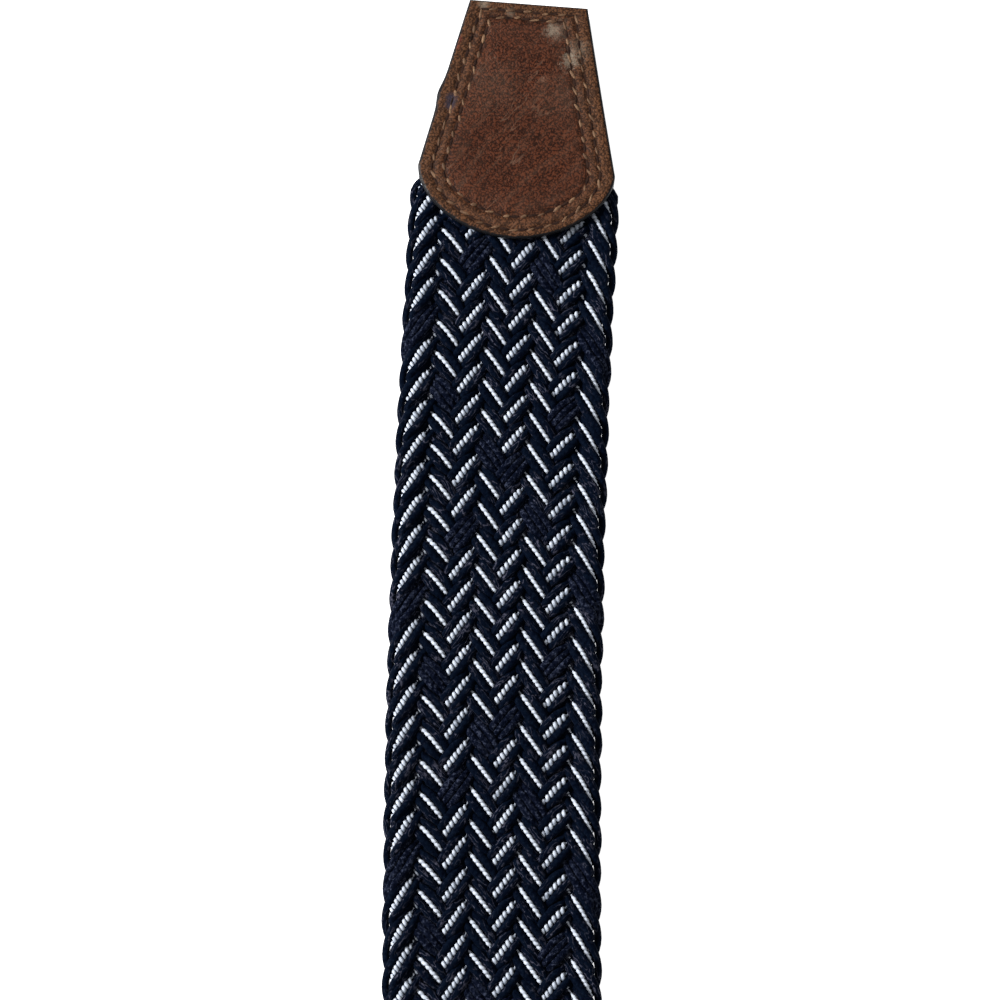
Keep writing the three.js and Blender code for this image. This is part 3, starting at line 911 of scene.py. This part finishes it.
def makeStitches(name, node, leaf, surface, outward, materials):
    # thread lies in the leather's dents; between two stitches a flat dark blob is the painted shade of a needle hole
    work = bmesh.new()
    scatter = random.Random(name)
    for insets in rowInsets:
        points, lengths = rowLengths(insets, leaf, 600)
        count = round(lengths[-1] / stitching["pitch"])
        k = 0
        for stitch in range(2 * count):
            reach = (stitch + 0.5) * lengths[-1] / (2 * count)
            while lengths[k + 1] < reach:
                k += 1
            share = (reach - lengths[k]) / (lengths[k + 1] - lengths[k])
            flat = points[k].lerp(points[k + 1], share)
            here, ahead = leaf["place"](flat.x, flat.y, surface), flat + (points[k + 1] - points[k])
            there = leaf["place"](ahead.x, ahead.y, surface)
            thread = stitch % 2 == 0
            turn = math.atan2(there.y - here.y, there.x - here.x)
            slant = stitching["slant"] * scatter.uniform(*stitching["slantShares"])
            turn += math.radians(slant) if thread else 0
            long = stitching["length"] * scatter.uniform(*stitching["lengthShares"]) if thread else stitching["hole"]
            wide = stitching["thick"] * scatter.uniform(*stitching["thickShares"])
            wide *= 1 if thread else stitching["holeWide"]
            high = wide * stitching["flat" if thread else "holeFlat"]
            aside = scatter.uniform(-1, 1) * stitching["aside"]
            here += (there - here).normalized().cross(Vector((0, 0, 1))) * aside
            size = Matrix.Diagonal((long / 2, wide / 2, high / 2, 1))
            lift = stitching["lift" if thread else "holeLift"] * outward
            place = Matrix.Translation((here.x, here.y, surface + lift)) @ Matrix.Rotation(turn, 4, "Z") @ size
            made = bmesh.ops.create_uvsphere(work, u_segments=10, v_segments=7, radius=1, matrix=place)
            # needle holes get the dark hole material, painted shade
            for face in {face for vert in made["verts"] for face in vert.link_faces}:
                face.material_index = 0 if thread else 1
    pieceFrom(name, meshFrom(work, name, materials), node)


def makeTip():
    front, back = leatherMaterial("tipFrontLeather", tipMarks), leatherMaterial("tipBackLeather")
    makeTipLeaf("tip_front", "tip_leather_front", frontBottom, leatherTop, front)
    makeTipLeaf("tip_back", "tip_leather_back", belt["leatherThick"], 0.0, back)
    dent = stitching["dent"] * belt["leatherThick"]
    makeStitches("tip_front_stitches", "tip_leather_front", tipLeaf, leatherTop - dent, 1, sewing)
    makeStitches("tip_back_stitches", "tip_leather_back", tipLeaf, dent, -1, sewing)


sewing = [threadMaterial(), needleHoleShadeMaterial()]
makeTip()
print("tip made")

# Buckle leather: one strip folded round the buckle's bar
fold = {
    "inner": 2.3 * mm,
    "slope": 9 * mm,
    "slotHalf": 1.8 * mm,  # the prong passes through a slot in the fold
    "slotBelow": 1.8 * mm,  # the slot begins this far below the bar's middle
    "slotPast": 2.3 * mm,  # and ends this far past it on the upper side
    "slotRim": 0.4 * mm,
    "rowStart": 22.5 * mm,  # the stitched field begins here, measured from the bar
    "openAtBar": (10 * mm, 14 * mm),  # the leaves' sides shut between these distances from the bar
    "openAtEnd": (10.4 * mm, 13 * mm),  # and from the end, where the braid comes out
}
barY = leatherStartY + fold["inner"] + belt["leatherThick"]
barZ = fold["inner"] + belt["leatherThick"]
foldRadius = fold["inner"] + belt["leatherThick"] / 2
leafRun = leatherEndY - barY
foldRun = math.pi * foldRadius
stripRun = 2 * leafRun + foldRun
slotFrom = leafRun + foldRadius * (math.pi / 2 - math.asin(fold["slotBelow"] / foldRadius))
slotTo = leafRun + foldRun + fold["slotPast"]


def foldPlace(across, reach, height):
    # across the strip, along it from the end of its lower leaf, and height as a share of the leather
    out = (height - 0.5) * belt["leatherThick"]
    if reach < leafRun:
        return Vector((across, leatherEndY - reach, belt["leatherThick"] / 2 - out))
    if reach < leafRun + foldRun:
        turn, radius = -math.pi / 2 - (reach - leafRun) / foldRadius, foldRadius + out
        return Vector((across, barY + radius * math.cos(turn), barZ + radius * math.sin(turn)))
    run = reach - leafRun - foldRun
    high, low = barZ + foldRadius, frontBottom + belt["leatherThick"] / 2
    share = min(1.0, run / fold["slope"])
    up = mix(high, low, share * share * (3 - 2 * share))
    slope = (low - high) * 6 * share * (1 - share) / fold["slope"]
    length = math.hypot(1, slope)
    return Vector((across, barY + run - out * slope / length, up + out / length))


def foldSpot(row, insets):
    # half width and reach of a row of the strip, on its outline moved in by the insets
    kind, value = row
    side, rounded, _ = (inset * mm for inset in insets)
    if kind == "run":
        return belt["tabHalf"] - side, value
    power = 2 / belt["roundFullness"]
    half = (belt["tabHalf"] - side) * max(0.0, math.cos(value)) ** power
    reach = belt["roundDepth"] - (belt["roundDepth"] - rounded) * max(0.0, math.sin(value)) ** power
    return half, reach if kind == "start" else stripRun - reach


def foldClosed(reach):
    # 1 where the two leaves are shut along their sides, 0 at the bar and where the braid comes out
    fromEnd = reach if reach < stripRun / 2 else stripRun - reach
    if fromEnd > leafRun:
        return 0.0
    return smoothStep(*fold["openAtBar"], leafRun - fromEnd) * smoothStep(*fold["openAtEnd"], fromEnd)


def slotAt(reach):
    # half width of the slot's columns at that reach
    inside = min(reach - slotFrom, slotTo - reach)
    if inside < -0.01 * mm or inside >= fold["slotHalf"]:
        return fold["slotHalf"]
    return fold["slotHalf"] * math.sqrt(max(0.06, 1 - (1 - inside / fold["slotHalf"]) ** 2))


def makeStrip(name, node, rows, spotOf, placeOf, levels, slotted, material):
    # a band of leather: every row is a loop round its cross-section
    fields = range(-3, 4)
    loop = [("outer", k) for k in fields] + [("right", level) for level in reversed(levels)]
    loop += [("inner", -k) for k in fields] + [("left", level) for level in levels]
    work = bmesh.new()
    bmesh.ops.create_grid(work, x_segments=len(loop), y_segments=len(rows) - 1, size=1)
    paint, field, _ = addValues(work, ("edgePaint", "innerShare", "stitchShade"))
    slotVerts = set()
    for vert in work.verts:
        kind, value = loop[round((vert.co.x + 1) / 2 * len(loop)) % len(loop)]
        row = rows[round((vert.co.y + 1) / 2 * (len(rows) - 1))]
        level = value if kind in ("right", "left") else levels[-1 if kind == "outer" else 0]
        half, reach = spotOf(row, level[:3])
        across = half if kind == "right" else -half
        vert[paint], vert[field] = level[4], level[5]
        if kind in ("outer", "inner"):
            slot = min(slotAt(reach) if slotted else half / 4, half / 2)
            rim = min(slot + fold["slotRim"], half * 0.75)
            across = math.copysign((0.0, slot, rim, mix(rim, half, 0.5))[abs(value)], value)
            vert[field] = 1
            if slotted and abs(value) < 2 and slotFrom - 0.01 * mm < reach < slotTo + 0.01 * mm:
                slotVerts.add(vert)
                vert[paint] = 1
        height = seamHeight(level, foldClosed(reach) if slotted and kind in ("right", "left") else 0.0)
        vert.co = placeOf(across, reach, min(height, 1.0))
    cut = [face for face in work.faces if all(vert in slotVerts for vert in face.verts)]
    bmesh.ops.delete(work, geom=cut, context="FACES")
    bmesh.ops.remove_doubles(work, verts=work.verts, dist=0.001 * mm)
    rims = [edge for edge in work.edges if edge.is_boundary]
    if rims:
        bmesh.ops.bridge_loops(work, edges=rims)
    pieceFrom(name, meshFrom(work, name, [material]), node)


def spread(start, end, count):
    return [mix(start, end, k / count) for k in range(count)]


def makeBuckleLeather():
    turns = [math.pi / 2 * (1 - k / 16) for k in range(16)]
    topStart, slopeEnd = leafRun + foldRun, leafRun + foldRun + fold["slope"]
    rim, ends, nearBend = fold["slotRim"], fold["slotHalf"], leafRun - 2 * mm
    runs = spread(belt["roundDepth"], nearBend, 14) + spread(nearBend, slotFrom - rim, 10) + [slotFrom - rim]
    runs += spread(slotFrom, slotFrom + ends, 5) + spread(slotFrom + ends, slotTo - ends, 12)
    runs += spread(slotTo - ends, slotTo, 5) + [slotTo, slotTo + rim] + spread(slotTo + 2 * rim, slopeEnd, 12)
    runs += spread(slopeEnd, topStart + leafRun - belt["roundDepth"], 12)
    rows = [("start", turn) for turn in turns] + [("run", reach) for reach in runs]
    rows += [("end", turn) for turn in [0.0] + turns[::-1]]
    leather = leatherMaterial("buckleLeather")
    makeStrip("buckle_fold", "buckle_leather", rows, foldSpot, foldPlace, leafLevels[2:19], True, leather)
    dent = stitching["dent"] * belt["leatherThick"]
    makeStitches("buckle_stitches_upper", "buckle_leather", buckleLeaf, leatherTop - dent, 1, sewing)
    makeStitches("buckle_stitches_lower", "buckle_leather", buckleLeaf, dent, -1, sewing)


def bucklePlace(across, along, up):
    return Vector((across, barY + fold["rowStart"] + along, up))


buckleLeaf = {
    "length": leafRun - fold["rowStart"],
    "endHalf": belt["tabHalf"],
    "trim": 0.0,
    "nick": 0.0,
    "nickAt": 16.0 * mm,
    "nickReach": 1.5 * mm,
    "place": bucklePlace,
}
makeBuckleLeather()
print("buckle leather made")

# Keeper loop
keeper = {
    "fromBar": 11 * mm,
    "length": 10 * mm,
    "outerHalf": 19.55 * mm,
    "bottom": 1.6 * mm,
    "top": 12.3 * mm,
    "corner": 2 * mm,
    "straight": 0.35,  # share of a quarter of the way round on either side of its corner
}


def keeperSpot(row, insets):
    return keeper["length"] / 2 - insets[0] * mm, row


def keeperPlace(across, reach, height):
    # once round the loop for a reach of 1, from the middle of its lower run
    corner, straight = keeper["corner"], keeper["straight"]
    radius = corner - (1 - height) * belt["leatherThick"]
    wide, high = keeper["outerHalf"] - corner, (keeper["top"] - keeper["bottom"]) / 2 - corner
    quarter = int(reach * 4) % 4
    sideX, sideZ, turned = ((1, -1, -90), (1, 1, 0), (-1, 1, 90), (-1, -1, 180))[quarter]
    share = reach % 1 * 4 - quarter
    turn = math.radians(turned + 90 * min(1.0, max(0.0, (share - straight) / (1 - 2 * straight))))
    flat = Vector((sideX * wide + radius * math.cos(turn), sideZ * high + radius * math.sin(turn)))
    middles = [Vector((0, -high - radius)), Vector((wide + radius, 0)), Vector((0, high + radius)),
               Vector((-wide - radius, 0))]
    if share < straight:
        flat = middles[quarter].lerp(flat, share / straight)
    elif share > 1 - straight:
        flat = flat.lerp(middles[(quarter + 1) % 4], (share - 1 + straight) / straight)
    midY = barY + keeper["fromBar"] + keeper["length"] / 2
    return Vector((flat.x, midY + across, (keeper["top"] + keeper["bottom"]) / 2 + flat.y))


def makeKeeper():
    rows = [k / 160 for k in range(160)] + [0.0]
    leather = leatherMaterial("keeperLeather")
    makeStrip("keeper", "keeper_loop", rows, keeperSpot, keeperPlace, leafLevels[2:12], False, leather)


makeKeeper()
print("keeper made")

# Pin buckle
buckle = {
    "wireRadius": 2 * mm,
    "width": 47 * mm,
    "length": 38 * mm,
    "corner": 4.5 * mm,
    "prongRadius": 1.3 * mm,
    "prongOverhang": 1.2 * mm,
    "hookGap": 0.85 * mm,  # from the bar's wire to the middle of the prong's hook
    "metal": (0.60, 0.575, 0.54),
    "shade": (0.36, 0.34, 0.32),
}


def metalMaterial():
    material, tree, sockets = newMaterial("satinNickel", 0.3, 0.5, 1.0)
    place = objectPlace(tree)
    stretched = addNode(tree, "ShaderNodeMapping", {"Vector": place, "Scale": (1.0, 9.0, 9.0)}).outputs["Vector"]
    brushed = noiseOf(tree, 420.0, 3.0, 0.6, stretched)
    worn = noiseOf(tree, 90.0, 4.0, 0.6, place)
    scratches = rampOf(tree, offMiddle(tree, noiseOf(tree, 260.0, 2.0, 0.5, place)), 0.0, 0.006, 1.0, 0.0)
    scratches = times(tree, scratches, rampOf(tree, worn, 0.5, 0.6))
    share = plus(tree, rampOf(tree, worn, 0.35, 0.7, 0.0, 0.35), times(tree, scratches, 0.4), True)
    tree.links.new(mixColor(tree, share, (*buckle["metal"], 1), (*buckle["shade"], 1)), sockets["Base Color"])
    rough = plus(tree, rampOf(tree, brushed, 0.3, 0.7, 0.22, 0.38), times(tree, worn, 0.1))
    tree.links.new(rough, sockets["Roughness"])
    height = minus(tree, times(tree, brushed, 0.4), scratches)
    bumpInto(tree, sockets, height, 0.02 * mm)
    return material


def makeBuckle():
    radius, corner = buckle["wireRadius"], buckle["corner"]
    wide, long = buckle["width"] / 2 - radius - corner, buckle["length"] / 2 - radius - corner
    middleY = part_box("pin_buckle")[0].y + buckle["length"] / 2
    route = []
    for quarter, (sideX, sideY) in enumerate(((1, 1), (-1, 1), (-1, -1), (1, -1))):
        for k in range(13):
            turn = math.pi / 2 * (quarter + k / 12)
            route.append((Vector((sideX * wide + corner * math.cos(turn), middleY + sideY * long
                                  + corner * math.sin(turn), barZ)), 1))
    metal = metalMaterial()
    wire = curveMesh("buckle_frame", [route], radius, 10, metal, cyclic=True)
    farY = middleY - buckle["length"] / 2 + radius
    restZ = barZ + radius + buckle["prongRadius"] * 0.7
    hook = radius + buckle["hookGap"]
    # the prong's line: its hook round the bar, its back, and its end over the frame's far side, with its size
    line = [(barY + hook * math.cos(math.radians(turn)), barZ + hook * math.sin(math.radians(turn)), 0.68)
            for turn in range(-50, 95, 12)]
    line += [(barY - 2.6 * mm, barZ + hook - 0.15 * mm, 0.78), (barY - 5 * mm, barZ + hook - 0.45 * mm, 0.92),
             (barY - 9 * mm, barZ + hook - 0.60 * mm, 1.0), (barY - 15 * mm, barZ + hook - 0.45 * mm, 1.0),
             (mix(barY, farY, 0.7), restZ - 0.10 * mm, 0.96), (mix(barY, farY, 0.88), restZ + 0.12 * mm, 0.86),
             (farY, restZ + 0.05 * mm, 0.78), (farY - 0.5 * mm, restZ - 0.05 * mm, 0.66),
             (farY - 0.85 * mm, restZ - 0.12 * mm, 0.50), (farY - 1.08 * mm, restZ - 0.16 * mm, 0.30),
             (farY - buckle["prongOverhang"], restZ - 0.18 * mm, 0.05)]
    route = [(Vector((0, y, z)), size) for y, z, size in line]
    prong = curveMesh("buckle_prong", [route], buckle["prongRadius"], 8, metal)
    for mesh in (wire, prong):
        pieceFrom(mesh.name, mesh, "pin_buckle")


makeBuckle()
print("buckle made")
